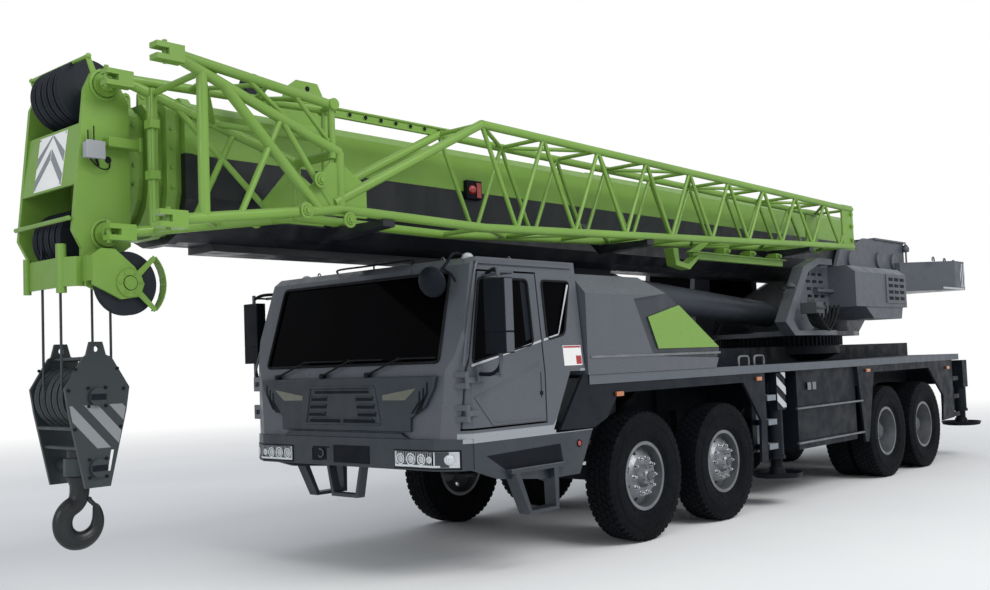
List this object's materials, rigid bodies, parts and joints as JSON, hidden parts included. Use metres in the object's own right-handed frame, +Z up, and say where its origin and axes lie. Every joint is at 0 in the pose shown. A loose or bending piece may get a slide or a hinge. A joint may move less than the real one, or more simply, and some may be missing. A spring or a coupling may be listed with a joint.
{
  "type": "mobile crane",
  "caption": "Truck-mounted telescopic crane with lattice jib stowed along the boom, hook block, outriggers, driver's cab and operator's cab.",
  "frame": {"origin": "on the ground under the middle of the overall length and width", "axes": "+X forward towards the cab and the boom head, +Y to the left side, +Z up"},
  "size_m": [14.8, 3.43, 3.95],
  "materials": {
    "lime_paint": "gloss",
    "grey_paint": "gloss",
    "dark_paint": "satin",
    "black_steel": "satin",
    "rim_silver": "gloss",
    "cast_grey": "rough",
    "chrome": "polished",
    "tyre": "matte",
    "dark_glass": "clear",
    "seat_plastic": "matte",
    "sheave_plastic": "matte"
  },
  "bodies": {
    "carrier": {"chassis_frame": "dark_paint", "slew_ring": "black_steel", "front_bumper": "grey_paint", "cab_shell": "grey_paint", "cab_glass": "dark_glass", "cab_interior": "seat_plastic", "engine_hood": "grey_paint", "engine_block": "cast_grey", "decks": "dark_paint", "axles": "dark_paint"},
    "upper": {"turntable": "grey_paint", "winch_drums": "black_steel", "counterweight": "grey_paint", "operator_cab": "grey_paint", "operator_glass": "dark_glass"},
    "operator_door": {"operator_door": "grey_paint"},
    "lift_barrel": {"lift_barrel": "black_steel"},
    "lift_rod": {"lift_rod": "chrome"},
    "boom": {"boom_base": "lime_paint", "cylinder_bracket": "black_steel", "jib": "lime_paint"},
    "boom_section_2": {"boom_section_2": "lime_paint"},
    "boom_section_3": {"boom_section_3": "lime_paint"},
    "boom_section_4": {"boom_section_4": "lime_paint"},
    "boom_head": {"boom_head": "lime_paint", "head_sheaves": "sheave_plastic"},
    "hook_block": {"hook_block": "black_steel"},
    "hook": {"hook": "black_steel"},
    "door_left": {"door_left": "grey_paint", "door_glass_left": "dark_glass"},
    "knuckle_1_left": {"knuckle_1_left": "cast_grey"},
    "knuckle_2_left": {"knuckle_2_left": "cast_grey"},
    "wheel_1_left": {"tyre_1_left": "tyre", "rim_1_left": "rim_silver"},
    "wheel_2_left": {"tyre_2_left": "tyre", "rim_2_left": "rim_silver"},
    "wheel_3_left": {"tyre_3_left": "tyre", "rim_3_left": "rim_silver"},
    "wheel_4_left": {"tyre_4_left": "tyre", "rim_4_left": "rim_silver"},
    "outrigger_front_left": {"outrigger_front_left": "dark_paint"},
    "jack_front_left": {"jack_front_left": "black_steel"},
    "outrigger_rear_left": {"outrigger_rear_left": "dark_paint"},
    "jack_rear_left": {"jack_rear_left": "black_steel"},
    "door_right": {"door_right": "grey_paint", "door_glass_right": "dark_glass"},
    "knuckle_1_right": {"knuckle_1_right": "cast_grey"},
    "knuckle_2_right": {"knuckle_2_right": "cast_grey"},
    "wheel_1_right": {"tyre_1_right": "tyre", "rim_1_right": "rim_silver"},
    "wheel_2_right": {"tyre_2_right": "tyre", "rim_2_right": "rim_silver"},
    "wheel_3_right": {"tyre_3_right": "tyre", "rim_3_right": "rim_silver"},
    "wheel_4_right": {"tyre_4_right": "tyre", "rim_4_right": "rim_silver"},
    "outrigger_front_right": {"outrigger_front_right": "dark_paint"},
    "jack_front_right": {"jack_front_right": "black_steel"},
    "outrigger_rear_right": {"outrigger_rear_right": "dark_paint"},
    "jack_rear_right": {"jack_rear_right": "black_steel"}
  },
  "joints": [
    {"name": "door_hinge_left", "type": "hinge", "parent": "carrier", "child": "door_left", "pos_m": [4.63, 1.388, 1.8], "axis": [0, 0, -1], "range_deg": [0, 70]},
    {"name": "steering_1_left", "type": "hinge", "parent": "carrier", "child": "knuckle_1_left", "pos_m": [2.15, 1, 0.613], "axis": [0, 0, 1], "range_deg": [-35, 35]},
    {"name": "steering_2_left", "type": "hinge", "parent": "carrier", "child": "knuckle_2_left", "pos_m": [0.675, 1, 0.613], "axis": [0, 0, 1], "range_deg": [-26, 26]},
    {"name": "spin_1_left", "type": "hinge", "parent": "knuckle_1_left", "child": "wheel_1_left", "pos_m": [2.15, 1.212, 0.613], "axis": [0, 1, 0], "continuous": true},
    {"name": "spin_2_left", "type": "hinge", "parent": "knuckle_2_left", "child": "wheel_2_left", "pos_m": [0.675, 1.212, 0.613], "axis": [0, 1, 0], "continuous": true},
    {"name": "spin_3_left", "type": "hinge", "parent": "carrier", "child": "wheel_3_left", "pos_m": [-3.67, 1.212, 0.613], "axis": [0, 1, 0], "continuous": true},
    {"name": "spin_4_left", "type": "hinge", "parent": "carrier", "child": "wheel_4_left", "pos_m": [-5.02, 1.212, 0.613], "axis": [0, 1, 0], "continuous": true},
    {"name": "beam_slide_front_left", "type": "slide", "parent": "carrier", "child": "outrigger_front_left", "axis": [0, 1, 0], "range_m": [0, 1.75]},
    {"name": "jack_slide_front_left", "type": "slide", "parent": "outrigger_front_left", "child": "jack_front_left", "axis": [0, 0, -1], "range_m": [0, 0.55]},
    {"name": "beam_slide_rear_left", "type": "slide", "parent": "carrier", "child": "outrigger_rear_left", "axis": [0, 1, 0], "range_m": [0, 1.75]},
    {"name": "jack_slide_rear_left", "type": "slide", "parent": "outrigger_rear_left", "child": "jack_rear_left", "axis": [0, 0, -1], "range_m": [0, 0.55]},
    {"name": "door_hinge_right", "type": "hinge", "parent": "carrier", "child": "door_right", "pos_m": [4.63, -1.388, 1.8], "axis": [0, 0, 1], "range_deg": [0, 70]},
    {"name": "steering_1_right", "type": "hinge", "parent": "carrier", "child": "knuckle_1_right", "pos_m": [2.15, -1, 0.613], "axis": [0, 0, 1], "range_deg": [-35, 35]},
    {"name": "steering_2_right", "type": "hinge", "parent": "carrier", "child": "knuckle_2_right", "pos_m": [0.675, -1, 0.613], "axis": [0, 0, 1], "range_deg": [-26, 26]},
    {"name": "spin_1_right", "type": "hinge", "parent": "knuckle_1_right", "child": "wheel_1_right", "pos_m": [2.15, -1.212, 0.613], "axis": [0, 1, 0], "continuous": true},
    {"name": "spin_2_right", "type": "hinge", "parent": "knuckle_2_right", "child": "wheel_2_right", "pos_m": [0.675, -1.212, 0.613], "axis": [0, 1, 0], "continuous": true},
    {"name": "spin_3_right", "type": "hinge", "parent": "carrier", "child": "wheel_3_right", "pos_m": [-3.67, -1.212, 0.613], "axis": [0, 1, 0], "continuous": true},
    {"name": "spin_4_right", "type": "hinge", "parent": "carrier", "child": "wheel_4_right", "pos_m": [-5.02, -1.212, 0.613], "axis": [0, 1, 0], "continuous": true},
    {"name": "beam_slide_front_right", "type": "slide", "parent": "carrier", "child": "outrigger_front_right", "axis": [0, -1, 0], "range_m": [0, 1.75]},
    {"name": "jack_slide_front_right", "type": "slide", "parent": "outrigger_front_right", "child": "jack_front_right", "axis": [0, 0, -1], "range_m": [0, 0.55]},
    {"name": "beam_slide_rear_right", "type": "slide", "parent": "carrier", "child": "outrigger_rear_right", "axis": [0, -1, 0], "range_m": [0, 1.75]},
    {"name": "jack_slide_rear_right", "type": "slide", "parent": "outrigger_rear_right", "child": "jack_rear_right", "axis": [0, 0, -1], "range_m": [0, 0.55]},
    {"name": "slew", "type": "hinge", "parent": "carrier", "child": "upper", "pos_m": [-3.25, 0, 1.86], "axis": [0, 0, 1], "continuous": true},
    {"name": "luff", "type": "hinge", "parent": "upper", "child": "boom", "pos_m": [-4.75, 0, 3.05], "axis": [0, -1, 0], "range_deg": [0, 80]},
    {"name": "barrel_pivot", "type": "hinge", "parent": "upper", "child": "lift_barrel", "pos_m": [-3.05, 0, 2.25], "axis": [0, -1, 0], "range_deg": [0, 88]},
    {"name": "rod_slide", "type": "slide", "parent": "lift_barrel", "child": "lift_rod", "axis": [0.9975, 0, 0.0703], "range_m": [0, 2.32]},
    {"name": "telescope_2", "type": "slide", "parent": "boom", "child": "boom_section_2", "axis": [1, 0, 0], "range_m": [0, 8.3]},
    {"name": "telescope_3", "type": "slide", "parent": "boom_section_2", "child": "boom_section_3", "axis": [1, 0, 0], "range_m": [0, 8.3]},
    {"name": "telescope_4", "type": "slide", "parent": "boom_section_3", "child": "boom_section_4", "axis": [1, 0, 0], "range_m": [0, 8.3]},
    {"name": "telescope_head", "type": "slide", "parent": "boom_section_4", "child": "boom_head", "axis": [1, 0, 0], "range_m": [0, 8.3]},
    {"name": "hook_swing", "type": "hinge", "parent": "boom_head", "child": "hook_block", "pos_m": [6.8977, 0, 2.451], "axis": [0, 1, 0], "range_deg": [0, 80.5]},
    {"name": "hook_swivel", "type": "hinge", "parent": "hook_block", "child": "hook", "pos_m": [7.1, 0, 1.13], "axis": [0, 0, 1], "continuous": true},
    {"name": "operator_door_slide", "type": "slide", "parent": "upper", "child": "operator_door", "axis": [-1, 0, 0], "range_m": [0, 0.68]}
  ],
  "couplings": [
    {"joint": "steering_2_left", "follows": "steering_1_left", "ratio": 0.72},
    {"joint": "steering_1_right", "follows": "steering_1_left", "ratio": 1},
    {"joint": "steering_2_right", "follows": "steering_1_left", "ratio": 0.72},
    {"joint": "barrel_pivot", "follows": "luff", "ratio": 1.0915},
    {"joint": "rod_slide", "follows": "luff", "m_per_rad": 1.6567},
    {"joint": "hook_swing", "follows": "luff", "ratio": 1},
    {"joint": "telescope_3", "follows": "telescope_2", "ratio": 1},
    {"joint": "telescope_4", "follows": "telescope_2", "ratio": 1},
    {"joint": "telescope_head", "follows": "telescope_2", "ratio": 1}
  ]
}
